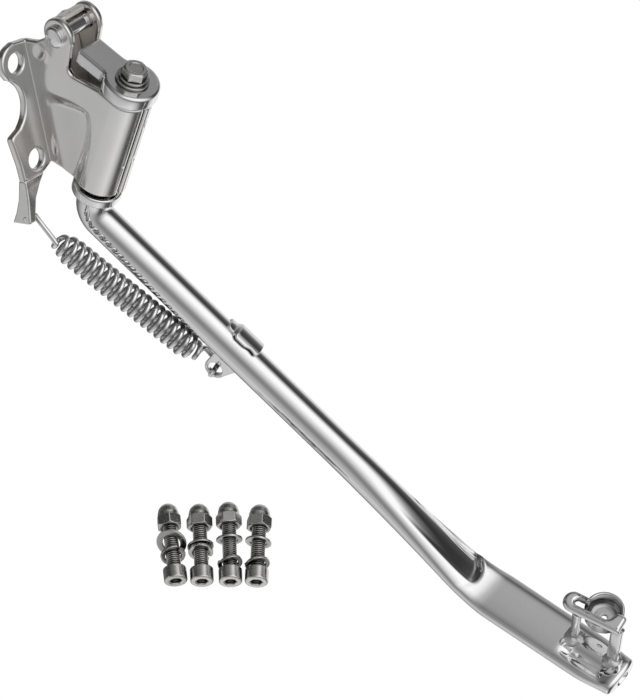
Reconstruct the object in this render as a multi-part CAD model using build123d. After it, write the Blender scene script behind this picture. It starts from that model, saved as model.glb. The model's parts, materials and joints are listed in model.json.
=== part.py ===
from build123d import *
import os
from math import cos, pi, radians, sin, sqrt, tan

# Motorcycle kickstand with its mounting bracket and loose mounting hardware, in millimetres.
# Row frame: +Z is normal to the flat foot paddle, +X runs from the pivot towards the foot.
# The origin is midway between the front flange's two screw holes, on the flange's front face.
# The parts are drawn from the swing axis, in the plane of the barrel's lower end, and moved there.

# --- pivot and bracket placement -------------------------------------------------------------
axis_lean = 21.0            # degrees that the swing axis leans from +Z towards +Y
bracket_azimuth = -8.0      # degrees about the swing axis from +X to the bracket's centre plane
bracket_rake = 33.0         # degrees between the mounting flanges and the swing axis

# --- bracket pressings -----------------------------------------------------------------------
sheet = 4.4                 # thickness of the wrapped walls
flange_sheet = 5.0          # thickness of the mounting flanges
barrel_radius = 13.9        # outside of the wrapped barrel
barrel_length = 67.0
flange_front = -20.25       # front face of the flanges, from the origin along the flange normal
mount_hole_radius = 5.6
mount_hole_offset = 23.7    # hole centres from the bracket's centre plane
upper_hole_height = 77.4    # hole centres along the flange
lower_hole_height = 20.4
ear_radius = 10.0
pin_forward = 5.4           # stop pin's centre from the origin along the flange normal
pin_height = 92.5           # stop pin's centre along the flange
pin_radius = 4.6
pin_hole_radius = 4.65
wall_foot = 16.2            # height where the folded flange begins
arm_clearance = 1.6         # walls stop this far below the stop arm
web_sheet = 3.0
web_bottom = 30.0
hanger_stations = (         # height, outer side, width and depth of the strap under the flange
    (11.0, -36.3, 16.0, 5.0),
    (6.5, -36.3, 11.6, 6.4),
    (0.0, -36.9, 7.2, 7.8),
    (-7.5, -38.3, 6.0, 10.4),
    (-13.0, -39.5, 6.0, 13.2),
)
hanger_hole_setback = 3.3   # behind the strap's front edge
hanger_hole_side = -35.7
hanger_hole_height = -10.0
hanger_hole_radius = 1.9

# --- bearing parts ---------------------------------------------------------------------------
spindle_radius = 7.0
running_gap = 0.05
bush_radius = 8.6
bush_length = 20.0
thrust_washer_thickness = 1.5
lift_travel = 2.5           # axial play of the leg in the barrel
collar_radius = 14.0
collar_thickness = 6.0
collar_gap = 3.0            # space between barrel and collar when the leg hangs down
key_width = 10.0            # square end of the spindle
press_gap = 0.02
spindle_step = 4.0          # spindle's reach into the bent tube
tapped_depth = 26.0
sleeve_setback = 0.4

# --- stop arm and its screw ------------------------------------------------------------------
arm_thickness = 9.0
arm_eye_radius = 17.0
arm_length = 33.6
arm_width = 19.0
hex_across_flats = 13.0
hex_height = 5.3
screw_radius = 4.0
screw_clearance = 0.05
screw_shank = 24.0
arm_washer_radius = 9.6
arm_washer_thickness = 1.6
arm_lock_radius = 8.0
arm_lock_thickness = 2.2
hex_turn = 14.0             # degrees
washer_clearance = 0.2
split_width = 0.9

# --- leg -------------------------------------------------------------------------------------
tube_radius = 9.5
tube_wall = 2.4
knee_drop = 22.7            # swing axis below the barrel, down to the tube's centre line
knee_radius = 14.0
leg_fall = 26.0             # degrees the tube falls below the paddle's plane
tube_length = 297.0         # knee to paddle bend
round_length = 186.0        # knee to the start of the flattening
paddle_length = 100.0
paddle_half_width = 14.6
paddle_half_thickness = 4.7
ankle_reach = 14.0          # half of the curved stretch between tube and paddle

# --- spring ----------------------------------------------------------------------------------
wire_radius = 1.5
coil_radius = 6.9           # wire centre line
coil_turns = 21
coil_start = 21.0           # from the hanger's hole along the spring
coil_stop = 15.0            # from the lug's hole, back along the spring
hook_offset = 3.9           # wire beside the plate it hooks into
hook_tail = 7.0             # wire end beyond the plate's middle
hanger_hook_offset = 4.9    # wire beside the hanger strap
hanger_tail = 3.1           # wire end from the middle of the hanger strap
lug_hole_radius = 4.2       # room for the wire when the leg lifts in its barrel
lug_station = 113.0
lug_reach = 21.0
lug_angle = 70.0            # degrees below the horizontal, seen along the tube
lug_thickness = 3.6

# --- loose mounting hardware -----------------------------------------------------------------
kit_count = 4
kit_pitch = 16.0
kit_centre = (138.0, -75.0)
kit_fan = (6.0, 2.4, 1.6, -2.4)     # degrees that each screw is turned as it lies
cap_head_radius = 6.5
cap_head_height = 8.0
cap_shank_length = 30.0
thread_radius = 4.0
cap_socket_flats = 6.0
cap_socket_depth = 5.0
nut_radius = 7.3
nut_hex_height = 6.5
acorn_radius = 6.1
lock_washer_radius = 6.4
lock_washer_thickness = 2.0
flat_washer_thickness = 1.6
head_face = 18.5            # from the middle of a lying set to its screw head's underside
washer_face = 2.0
lock_face = 9.0
nut_face = -7.0

# --- saddle and foot loop ---------------------------------------------------------------------
saddle_station = 104.0
saddle_angle = 30.0         # degrees above +Y, seen along the tube
saddle_wall = 3.8
saddle_length = 17.4
saddle_half_angle = 62.0
tongue_wall = 1.4
tongue_length = 5.6
tongue_half_angle = 50.0
eye_radius = 6.4            # of the lug round the spring's hole
loop_rise = 24.0            # underside of the loop bar above the paddle
inner_post_station = 64.5   # from the ankle
outer_post_station = 89.5
post_sink = 2.0
loop_length = 37.0
loop_width = 12.4
loop_slot_length = 27.0
loop_slot_width = 4.2
loop_bar_height = 4.4
cup_radius = 11.2
cup_wall = 1.8
cup_depth = 11.0
cup_hole = 1.6
weld_sink = 0.8


def swing_axis():
    return Vector(0, sin(radians(axis_lean)), cos(radians(axis_lean)))


def bracket_reach():
    """Direction from the flanges to the barrel, square to the swing axis."""
    side = swing_axis().cross(Vector(1, 0, 0))
    turn = radians(bracket_azimuth)
    return Vector(1, 0, 0) * cos(turn) + side * sin(turn)


AXIS = swing_axis()
REACH = bracket_reach()
SIDE = AXIS.cross(REACH)
RAKE = radians(bracket_rake)
NORMAL = REACH * cos(RAKE) + AXIS * sin(RAKE)
RISE = AXIS * cos(RAKE) - REACH * sin(RAKE)

BRACKET = Plane(origin=(0, 0, 0), x_dir=NORMAL, z_dir=RISE)    # x = flange normal, y = side
BARREL = Plane(origin=(0, 0, 0), x_dir=REACH, z_dir=AXIS)      # z = swing axis

FALL = radians(leg_fall)
DOWN_LEG = Vector(cos(FALL), 0, -sin(FALL))
TUBE_TOP = Vector(sin(FALL), 0, cos(FALL))
KNEE = AXIS * -knee_drop
ANKLE = KNEE + DOWN_LEG * tube_length
PADDLE_END = ANKLE + Vector(paddle_length, 0, 0)
SOLE = ANKLE.Z - paddle_half_thickness

STOP_PIN = Vector(pin_forward, 0, pin_height)
HANGER_HOLE = Vector(flange_front - hanger_hole_setback, hanger_hole_side, hanger_hole_height)
ARM_BASE = barrel_length + thrust_washer_thickness + 2 * running_gap
WASHER_LOW = ARM_BASE + arm_thickness
LOCK_LOW = WASHER_LOW + arm_washer_thickness
HEX_LOW = LOCK_LOW + arm_lock_thickness

FOOT_TOP = ANKLE.Z + paddle_half_thickness
LOOP_HEIGHT = FOOT_TOP + loop_rise
INNER_POST = Vector(ANKLE.X + inner_post_station, ANKLE.Y + 3.6, FOOT_TOP)
OUTER_POST = Vector(ANKLE.X + outer_post_station, ANKLE.Y + 4.4, FOOT_TOP)

KIT_ALONG = Vector(0.596, -0.803, 0).normalized()
HOLE_MIDDLE = (upper_hole_height + lower_hole_height) / 2
ORIGIN = BRACKET.from_local_coords(Vector(flange_front, -mount_hole_offset, HOLE_MIDDLE))


def ring(outer, inner, low, high):
    """Tube standing on the swing axis between two heights."""
    body = Cylinder(outer, high - low, align=(Align.CENTER, Align.CENTER, Align.MIN))
    body -= Cylinder(inner, high - low, align=(Align.CENTER, Align.CENTER, Align.MIN))
    return BARREL * Pos(0, 0, low) * body


# --- bracket ---------------------------------------------------------------------------------
def wall_outline():
    """Side view of one wall, in the flange-normal and flange-height directions."""
    ear_left = (pin_forward - ear_radius, pin_height)
    ear_top = (pin_forward, pin_height + ear_radius)
    ear_right = (pin_forward + ear_radius, pin_height)
    top_plane = ARM_BASE - arm_clearance
    notch_end = (27.5, (top_plane - 27.5 * sin(RAKE)) / cos(RAKE))
    top_end = (70, (top_plane - 70 * sin(RAKE)) / cos(RAKE))
    back_face = flange_front - flange_sheet
    with BuildSketch(Plane.XZ) as sketch:
        with BuildLine():
            Line((back_face, 86.8), (-12, 87.2))
            Line((-12, 87.2), (ear_left[0], pin_height - 2))
            Line((ear_left[0], pin_height - 2), ear_left)
            RadiusArc(ear_left, ear_top, ear_radius)
            RadiusArc(ear_top, ear_right, ear_radius)
            Line(ear_right, (pin_forward + ear_radius - 0.6, 88))
            Line((pin_forward + ear_radius - 0.6, 88), (6.2, 69.8))
            Line((6.2, 69.8), notch_end)
            Line(notch_end, top_end)
            Line(top_end, (70, -40))
            Line((70, -40), (0, -6))
            Line((0, -6), (-7, 5.4))
            Line((-7, 5.4), (flange_front, wall_foot))
            Line((flange_front, wall_foot), (back_face, wall_foot))
            Line((back_face, wall_foot), (back_face, 86.8))
        make_face()
        notch = sketch.vertices().sort_by_distance((6.2, 69.8, 0))[0]
        fillet(notch, 5)
        shoulder = sketch.vertices().sort_by_distance((-12, 87.2, 0))[0]
        fillet(shoulder, 4)
    return sketch.sketch


def wrapped_wall():
    """Half of the U-shaped sheet that runs along one wall and round half of the barrel."""
    inner = barrel_radius - sheet
    with BuildSketch() as section:
        with BuildLine():
            Line((-80, inner), (0, inner))
            RadiusArc((0, inner), (inner, 0), inner)
            Line((inner, 0), (barrel_radius, 0))
            RadiusArc((barrel_radius, 0), (0, barrel_radius), -barrel_radius)
            Line((0, barrel_radius), (-80, barrel_radius))
            Line((-80, barrel_radius), (-80, inner))
        make_face()
    sheet_solid = BARREL * extrude(section.sketch, 130)
    outline = BRACKET * extrude(wall_outline(), -barrel_radius - 1)
    return sheet_solid & outline


def flange_outline():
    with BuildSketch() as sketch:
        with BuildLine():
            Line((barrel_radius - sheet, 86.8), (mount_hole_offset, 89.3))
            ThreePointArc((mount_hole_offset, 89.3), (35.4, 79.6), (32.6, 71.2))
            ThreePointArc((32.6, 71.2), (23.2, 55.4), (30.5, 41.6))
            Line((30.5, 41.6), (39.3, 38.4))
            Line((39.3, 38.4), (36.6, 20.4))
            Line((36.6, 20.4), (36.3, 11.0))
            Line((36.3, 11.0), (20.0, 11.0))
            Line((20.0, 11.0), (barrel_radius, wall_foot))
            Line((barrel_radius, wall_foot), (barrel_radius - sheet, wall_foot))
            Line((barrel_radius - sheet, wall_foot), (barrel_radius - sheet, 86.8))
        make_face()
        corner = sketch.vertices().sort_by_distance((39.3, 38.4, 0))[0]
        fillet(corner, 3)
    return sketch.sketch


def flange():
    plate_plane = Plane(origin=(flange_front, 0, 0), x_dir=(0, 1, 0), z_dir=(1, 0, 0))
    plate = extrude(plate_plane * flange_outline(), -flange_sheet)
    for height in (upper_hole_height, lower_hole_height):
        drill = Cylinder(mount_hole_radius, 4 * flange_sheet)
        plate -= Pos(flange_front, mount_hole_offset, height) * Rot(0, 90, 0) * drill
    return plate


def bracket_half():
    """One pressing: mounting flange, wall with its ear, and half of the barrel wrap."""
    pin_hole = Cylinder(pin_hole_radius, 80)
    half = BRACKET * flange() + wrapped_wall()
    half -= BRACKET * Pos(STOP_PIN) * Rot(90, 0, 0) * pin_hole
    keep_out = BARREL * Cylinder(60, 40, align=(Align.CENTER, Align.CENTER, Align.MAX))
    return half - keep_out


def mirrored(part):
    centre_plane = Plane(origin=(0, 0, 0), z_dir=SIDE)
    return mirror(part, centre_plane)


def back_web():
    """Curved plate that joins the two ears behind the stop pin."""
    outer = ear_radius - 0.4
    inner = outer - web_sheet
    half_width = barrel_radius - sheet
    lift = radians(70)
    tip_out = (pin_forward + outer * cos(lift), pin_height + outer * sin(lift))
    tip_in = (pin_forward + inner * cos(lift), pin_height + inner * sin(lift))
    mid = radians(125)
    mid_out = (pin_forward + outer * cos(mid), pin_height + outer * sin(mid))
    mid_in = (pin_forward + inner * cos(mid), pin_height + inner * sin(mid))
    with BuildSketch(Plane.XZ) as sketch:
        with BuildLine():
            ThreePointArc(tip_out, mid_out, (pin_forward - outer, pin_height))
            Line((pin_forward - outer, pin_height), (pin_forward - outer, web_bottom))
            Line((pin_forward - outer, web_bottom), (pin_forward - inner, web_bottom))
            Line((pin_forward - inner, web_bottom), (pin_forward - inner, pin_height))
            ThreePointArc((pin_forward - inner, pin_height), mid_in, tip_in)
            Line(tip_in, tip_out)
        make_face()
    return BRACKET * extrude(sketch.sketch, half_width, both=True)


def spring_hanger():
    """Strap under the front flange: wide at its top, deep at its foot, drilled for the spring."""
    sections = []
    for height, outer_side, width, depth in hanger_stations:
        centre = (flange_front - depth / 2, outer_side + width / 2, height)
        place = Plane(origin=centre, x_dir=(1, 0, 0), z_dir=(0, 0, 1))
        sections.append(place * Rectangle(depth, width))
    strap = loft(sections)
    strap -= Pos(HANGER_HOLE) * Rot(90, 0, 0) * Cylinder(hanger_hole_radius, 2 * barrel_radius)
    return BRACKET * strap


def stop_pin():
    """Pin across the two ears, with a domed head in front and a riveted tail."""
    half = barrel_radius
    shank = Cylinder(pin_radius, 2 * half)
    head = Pos(0, 0, half) * Cylinder(6.5, 3.2, align=(Align.CENTER, Align.CENTER, Align.MIN))
    head = fillet(head.edges().sort_by(Axis.Z)[-1], 2.4)
    tail = Pos(0, 0, -half) * Cylinder(5.8, 1.8, align=(Align.CENTER, Align.CENTER, Align.MAX))
    tail = fillet(tail.edges().sort_by(Axis.Z)[0], 1.2)
    return BRACKET * Pos(STOP_PIN) * Rot(90, 0, 0) * (shank + head + tail)


def barrel_sleeve():
    return ring(barrel_radius - sheet, bush_radius, sleeve_setback, barrel_length - sleeve_setback)


def lower_bush():
    top = sleeve_setback + bush_length
    return ring(bush_radius, spindle_radius + running_gap, sleeve_setback, top)


def upper_bush():
    top = barrel_length - sleeve_setback
    return ring(bush_radius, spindle_radius + running_gap, top - bush_length, top)


# --- leg -------------------------------------------------------------------------------------
def thrust_washer():
    low = barrel_length + running_gap
    high = low + thrust_washer_thickness
    return ring(barrel_radius - 0.6, spindle_radius + running_gap, low, high)


def leg_collar():
    low = -collar_gap - collar_thickness
    disc = ring(collar_radius, spindle_radius + press_gap, low, -collar_gap)
    rims = disc.edges().filter_by(GeomType.CIRCLE).sort_by(SortBy.LENGTH)[-2:]
    return fillet(rims, 1.2)


def leg_spindle():
    """Pivot shaft: it turns in the bushes and ends in a square that carries the stop arm."""
    low = -collar_gap - collar_thickness - spindle_step
    shaft = Pos(0, 0, low) * Cylinder(
        spindle_radius, ARM_BASE - low, align=(Align.CENTER, Align.CENTER, Align.MIN))
    square = Pos(0, 0, ARM_BASE) * Box(
        key_width, key_width, arm_thickness - 0.3, align=(Align.CENTER, Align.CENTER, Align.MIN))
    tapped = Pos(0, 0, ARM_BASE + arm_thickness) * Cylinder(
        screw_radius + screw_clearance, tapped_depth,
        align=(Align.CENTER, Align.CENTER, Align.MAX))
    return BARREL * (shaft + square - tapped)


def leg_stop_arm():
    """Thick plate on the spindle's square: a round eye and a tongue back towards the flanges."""
    with BuildSketch() as sketch:
        Circle(arm_eye_radius)
        with Locations((-arm_length / 2, 0)):
            Rectangle(arm_length, arm_width)
        corners = sketch.vertices().group_by(Axis.X)[0]
        fillet(corners, 2)
        Rectangle(key_width + 2 * press_gap, key_width + 2 * press_gap, mode=Mode.SUBTRACT)
    plate = Pos(0, 0, ARM_BASE) * extrude(sketch.sketch, arm_thickness)
    top_edges = plate.faces().sort_by(Axis.Z)[-1].outer_wire().edges()
    plate = chamfer(top_edges, 0.6)
    return BARREL * plate


def lock_washer(outer, inner, thickness):
    """Split spring washer lying on z = 0."""
    body = Cylinder(outer, thickness, align=(Align.CENTER, Align.CENTER, Align.MIN))
    body -= Cylinder(inner, thickness, align=(Align.CENTER, Align.CENTER, Align.MIN))
    gap = Rot(35, 0, 0) * Box(outer, split_width, 3 * thickness)
    return body - Pos(outer - 2, 0, thickness / 2) * gap


def flat_washer(outer, inner, thickness):
    body = Cylinder(outer, thickness, align=(Align.CENTER, Align.CENTER, Align.MIN))
    return body - Cylinder(inner, thickness, align=(Align.CENTER, Align.CENTER, Align.MIN))


def arm_flat_washer():
    inner = screw_radius + washer_clearance
    washer = flat_washer(arm_washer_radius, inner, arm_washer_thickness)
    return BARREL * Pos(0, 0, WASHER_LOW) * washer


def arm_lock_washer():
    inner = screw_radius + washer_clearance
    washer = lock_washer(arm_lock_radius, inner, arm_lock_thickness)
    return BARREL * Pos(0, 0, LOCK_LOW) * Rot(0, 0, 200) * washer


def arm_hex_screw():
    """Hexagon-head screw that holds the stop arm on the spindle."""
    corner = hex_across_flats / sqrt(3)
    head = extrude(RegularPolygon(corner, 6, rotation=hex_turn), hex_height)
    cone = Cone(corner * 1.9, corner * 0.86, hex_height * 1.45,
                align=(Align.CENTER, Align.CENTER, Align.MAX))
    head &= Pos(0, 0, hex_height) * cone
    shank = Cylinder(screw_radius, screw_shank, align=(Align.CENTER, Align.CENTER, Align.MAX))
    return BARREL * Pos(0, 0, HEX_LOW) * (head + shank)


def section_points(half_width, half_height, power):
    """Points round a superellipse: power 2 is an ellipse, more is a flatter oval."""
    points = []
    count = 24
    for step in range(count):
        angle = 2 * pi * step / count
        c = cos(angle)
        s = sin(angle)
        x = half_width * abs(c) ** (2 / power) * (1 if c >= 0 else -1)
        y = half_height * abs(s) ** (2 / power) * (1 if s >= 0 else -1)
        points.append((x, y))
    return points


def leg_line(station):
    """Point and direction on the leg's centre line past the knee, with the ankle curved."""
    start = tube_length - ankle_reach
    stop = tube_length + ankle_reach
    if station <= start:
        return KNEE + DOWN_LEG * station, DOWN_LEG
    if station >= stop:
        return ANKLE + Vector(1, 0, 0) * (station - tube_length), Vector(1, 0, 0)
    share = (station - start) / (stop - start)
    p0 = KNEE + DOWN_LEG * start
    p2 = ANKLE + Vector(1, 0, 0) * ankle_reach
    point = p0 * (1 - share) ** 2 + ANKLE * 2 * share * (1 - share) + p2 * share ** 2
    direction = ((ANKLE - p0) * (1 - share) + (p2 - ANKLE) * share).normalized()
    return point, direction


def leg_section(station, inset):
    """Cross-section of the leg at a station, shrunk by inset for the bore."""
    point, direction = leg_line(station)
    share = min(1, max(0, (station - round_length) / (tube_length + ankle_reach - round_length)))
    swell = share ** 2 * (3 - 2 * share)
    half_width = tube_radius + (paddle_half_width - tube_radius) * share ** 2 - inset
    half_height = tube_radius + (paddle_half_thickness - tube_radius) * swell - inset
    place = Plane(origin=point, x_dir=(0, 1, 0), z_dir=direction)
    if share == 0:
        return place * Circle(tube_radius - inset)
    outline = Spline(*section_points(half_width, half_height, 2 + 0.9 * swell), periodic=True)
    return place * make_face(outline)


def knee_path(start):
    """Centre line from under the collar, round the knee and along the tube."""
    turn = (-AXIS).get_angle(DOWN_LEG)
    setback = knee_radius * tan(radians(turn) / 2)
    into = KNEE + AXIS * setback
    out = KNEE + DOWN_LEG * setback
    bisector = (AXIS + DOWN_LEG).normalized()
    centre = KNEE + bisector * (knee_radius / cos(radians(turn) / 2))
    middle = centre - bisector * knee_radius
    return Wire([
        Edge.make_line(start, into),
        Edge.make_three_point_arc(into, middle, out),
        Edge.make_line(out, KNEE + DOWN_LEG * round_length),
    ])


def tube_body(inset, overrun):
    """Leg from collar to foot, flattened into the paddle; inset by the wall it is the bore."""
    top = AXIS * (-collar_gap - collar_thickness + overrun)
    start_face = Plane(origin=top, z_dir=-AXIS) * Circle(tube_radius - inset)
    round_part = sweep(start_face, knee_path(top))
    ankle_start = tube_length - ankle_reach
    ankle_stop = tube_length + ankle_reach
    squash_step = (ankle_start - round_length) / 8
    squash_part = loft([leg_section(round_length + squash_step * i, inset) for i in range(9)])
    ankle_step = (ankle_stop - ankle_start) / 6
    ankle_part = loft([leg_section(ankle_start + ankle_step * i, inset) for i in range(7)])
    end_face = leg_section(ankle_stop, inset)
    paddle_part = extrude(end_face, paddle_length - ankle_reach + overrun, dir=(1, 0, 0))
    return round_part + squash_part + ankle_part + paddle_part


def around_tube(station, angle):
    """Plane across the tube at a station: x points outwards at an angle above +Y."""
    outward = Vector(0, cos(radians(angle)), 0) + TUBE_TOP * sin(radians(angle))
    return Plane(origin=KNEE + DOWN_LEG * station, x_dir=outward, z_dir=DOWN_LEG)


def shell_sector(inner, outer, half_angle, length):
    """Part of a tube wall, centred on +x, standing on z = 0."""
    body = Cylinder(outer, length, arc_size=2 * half_angle,
                    align=(Align.NONE, Align.NONE, Align.MIN))
    body -= Cylinder(inner, length, align=(Align.CENTER, Align.CENTER, Align.MIN))
    return Rot(0, 0, -half_angle) * body


def bumper_saddle():
    """Pressed saddle on the tube's upper side, with a thin tongue towards the knee."""
    inner = tube_radius + press_gap
    block = shell_sector(inner, tube_radius + saddle_wall, saddle_half_angle, saddle_length)
    tongue = shell_sector(inner, tube_radius + tongue_wall, tongue_half_angle, tongue_length)
    saddle = block + Pos(0, 0, -tongue_length) * tongue
    return around_tube(saddle_station, saddle_angle) * saddle


def spring_lug():
    """Welded eye on the tube's lower side, for the spring's lower hook."""
    eye_tip = (lug_reach + eye_radius, 0)
    with BuildSketch(Plane.XZ) as sketch:
        with BuildLine():
            Line((tube_radius - 1, -7.5), (lug_reach, -eye_radius))
            ThreePointArc((lug_reach, -eye_radius), eye_tip, (lug_reach, eye_radius))
            Line((lug_reach, eye_radius), (tube_radius - 1, 9.5))
            Line((tube_radius - 1, 9.5), (tube_radius - 1, -7.5))
        make_face()
        with Locations((lug_reach, 0)):
            Circle(lug_hole_radius, mode=Mode.SUBTRACT)
    plate = extrude(sketch.sketch, lug_thickness / 2, both=True)
    plate -= Cylinder(tube_radius + press_gap, 60)
    return around_tube(lug_station, 180 + lug_angle) * plate


# --- foot loop -------------------------------------------------------------------------------
def post(foot, top, width, depth):
    """Flat strap between two points, sunk square into neither."""
    along = (top - foot).normalized()
    place = Plane(origin=foot, x_dir=(1, 0, 0), z_dir=along)
    strap = extrude(Rectangle(width, depth), (top - foot).length)
    strap = fillet(strap.edges().filter_by(Axis.Z), 1.0)
    return place * strap


def foot_loop_inner_post(leg_body):
    foot = INNER_POST - Vector(0, 0, post_sink)
    top = Vector(INNER_POST.X - 0.5, ANKLE.Y + 5.4, LOOP_HEIGHT - 0.3)
    return post(foot, top, 5.2, 5.0) - leg_body


def foot_loop_outer_post(leg_body):
    foot = OUTER_POST - Vector(0, 0, post_sink)
    top = Vector(OUTER_POST.X, ANKLE.Y + 9.8, LOOP_HEIGHT - 0.5)
    return post(foot, top, 7.4, 3.2) - leg_body


def foot_loop_bar():
    """Flat bar closed into a long loop on top of the two posts."""
    with BuildSketch() as sketch:
        SlotOverall(loop_length, loop_width)
        SlotOverall(loop_slot_length, loop_slot_width, mode=Mode.SUBTRACT)
    bar = extrude(sketch.sketch, loop_bar_height)
    top_edges = bar.faces().sort_by(Axis.Z)[-1].outer_wire().edges()
    bar = fillet(top_edges, 1.0)
    return Pos(ANKLE.X + 71.5, ANKLE.Y + 10.4, LOOP_HEIGHT) * Rot(0, 0, 8) * bar


def foot_loop_cup():
    """Round cup under the back of the loop bar, open at the top and pierced in its floor."""
    bore = cup_radius - cup_wall
    floor = cup_wall - cup_depth
    with BuildSketch(Plane.XZ) as sketch:
        with BuildLine():
            Polyline((cup_hole, -cup_depth), (cup_radius, -cup_depth), (cup_radius, 0), (bore, 0),
                     (bore, floor), (cup_hole, floor), (cup_hole, -cup_depth))
        make_face()
        fillet(sketch.vertices().sort_by_distance((cup_radius, -cup_depth, 0))[0], 5.0)
        fillet(sketch.vertices().sort_by_distance((bore, floor, 0))[0], 3.4)
    dish = revolve(sketch.sketch, Axis.Z)
    return Pos(ANKLE.X + 74.6, ANKLE.Y + 16.3, LOOP_HEIGHT - running_gap) * dish


def weld_bead(radius, height):
    dome = scale(Sphere(radius), (1, 1, 2 * height / radius))
    return dome & Box(4 * radius, 4 * radius, 4 * radius)


def foot_loop_welds(leg_body, posts):
    """Weld beads round the feet of the two posts."""
    inner = Pos(INNER_POST) * Pos(0, 0, -weld_sink) * weld_bead(6.6, 2.0)
    outer = Pos(OUTER_POST) * Pos(0, 0, -weld_sink) * weld_bead(6.2, 1.9)
    beads = []
    for bead in (inner, outer):
        fitted = bead - leg_body
        for strap in posts:
            fitted = fitted - strap
        beads.extend(fitted.solids())
    return Compound(beads)


# --- return spring ---------------------------------------------------------------------------
def spring_ends():
    start = BRACKET.from_local_coords(HANGER_HOLE)
    stop = around_tube(lug_station, 180 + lug_angle).from_local_coords(Vector(lug_reach, 0, 0))
    return start, stop


def square_to(direction, axis):
    return (direction - axis * direction.dot(axis)).normalized()


def hook_path(tip, heading, hole, hole_axis, back, offset, tail):
    """Wire from a coil's end, past the plate, then square through its hole."""
    beside = hole + hole_axis * offset
    return FilletPolyline(
        tip,
        tip + heading * 5,
        beside + back * 9,
        beside,
        hole - hole_axis * tail,
        radius=2.2,
    )


def wire_along(path):
    return sweep(Plane(origin=path @ 0, z_dir=path % 0) * Circle(wire_radius), path)


def return_spring():
    """Extension spring: open coils with a bent hook at each end."""
    start, stop = spring_ends()
    along = (stop - start).normalized()
    length = (stop - start).length
    coil_length = length - coil_start - coil_stop
    place = Plane(origin=start + along * coil_start, x_dir=along.cross(AXIS), z_dir=along)
    helix = place * Helix(coil_length / coil_turns, coil_length, coil_radius)
    wire_face = Plane(origin=helix @ 0, z_dir=helix % 0) * Circle(wire_radius)
    coils = sweep(wire_face, helix, is_frenet=True)
    lug_axis = DOWN_LEG.cross((stop - KNEE - DOWN_LEG * lug_station).normalized())
    hanger_back = square_to(along, SIDE)
    lug_back = square_to(along * -1, lug_axis)
    upper = hook_path(
        helix @ 0, (helix % 0) * -1, start, SIDE, hanger_back, hanger_hook_offset, hanger_tail)
    lower = hook_path(helix @ 1, helix % 1, stop, lug_axis, lug_back, hook_offset, hook_tail)
    return coils + wire_along(upper) + wire_along(lower)


# --- loose mounting hardware -----------------------------------------------------------------
def kit_places():
    """Where each screw lies: z runs from the nut's end to the screw's head."""
    across = Vector(KIT_ALONG.Y * -1, KIT_ALONG.X, 0)
    places = []
    for index in range(kit_count):
        offset = (index - (kit_count - 1) / 2) * kit_pitch
        centre = Vector(*kit_centre, SOLE + nut_radius) + across * offset
        turn = radians(kit_fan[index])
        along = KIT_ALONG * cos(turn) + across * sin(turn)
        places.append(Plane(origin=centre, x_dir=across, z_dir=along))
    return places


def cap_screw():
    """Socket-head cap screw along +z to its head; the thread is its plain outside."""
    low = (Align.CENTER, Align.CENTER, Align.MIN)
    head = Cylinder(cap_head_radius, cap_head_height, align=low)
    head = fillet(head.edges().sort_by(Axis.Z)[-1], 0.8)
    socket = extrude(RegularPolygon(cap_socket_flats / sqrt(3), 6), -cap_socket_depth)
    head -= Pos(0, 0, cap_head_height) * socket
    high = (Align.CENTER, Align.CENTER, Align.MAX)
    shank = Cylinder(thread_radius, cap_shank_length, align=high)
    shank = chamfer(shank.edges().sort_by(Axis.Z)[0], 0.8)
    return head + shank


def acorn_nut():
    """Domed nut: hexagon towards the screw's head, dome at the far end."""
    hexagon = extrude(RegularPolygon(nut_radius, 6), -nut_hex_height)
    dome = Pos(0, 0, -nut_hex_height - 2.4) * Sphere(acorn_radius)
    dome += Pos(0, 0, -nut_hex_height) * Cylinder(
        acorn_radius, 2.4, align=(Align.CENTER, Align.CENTER, Align.MAX))
    dome &= Pos(0, 0, -nut_hex_height) * Box(
        40, 40, 40, align=(Align.CENTER, Align.CENTER, Align.MAX))
    bore = Cylinder(thread_radius + 0.1, 9.5, align=(Align.CENTER, Align.CENTER, Align.MAX))
    return hexagon + dome - bore


def mounting_cap_screws():
    return Compound([place * Pos(0, 0, head_face) * cap_screw() for place in kit_places()])


def mounting_acorn_nuts():
    return Compound([place * Pos(0, 0, nut_face) * acorn_nut() for place in kit_places()])


def mounting_lock_washers():
    inner = thread_radius + washer_clearance
    washer = lock_washer(lock_washer_radius, inner, lock_washer_thickness)
    return Compound([place * Pos(0, 0, lock_face) * washer for place in kit_places()])


def mounting_flat_washers():
    washer = flat_washer(nut_radius, thread_radius + washer_clearance, flat_washer_thickness)
    return Compound([place * Pos(0, 0, washer_face) * washer for place in kit_places()])


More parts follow.
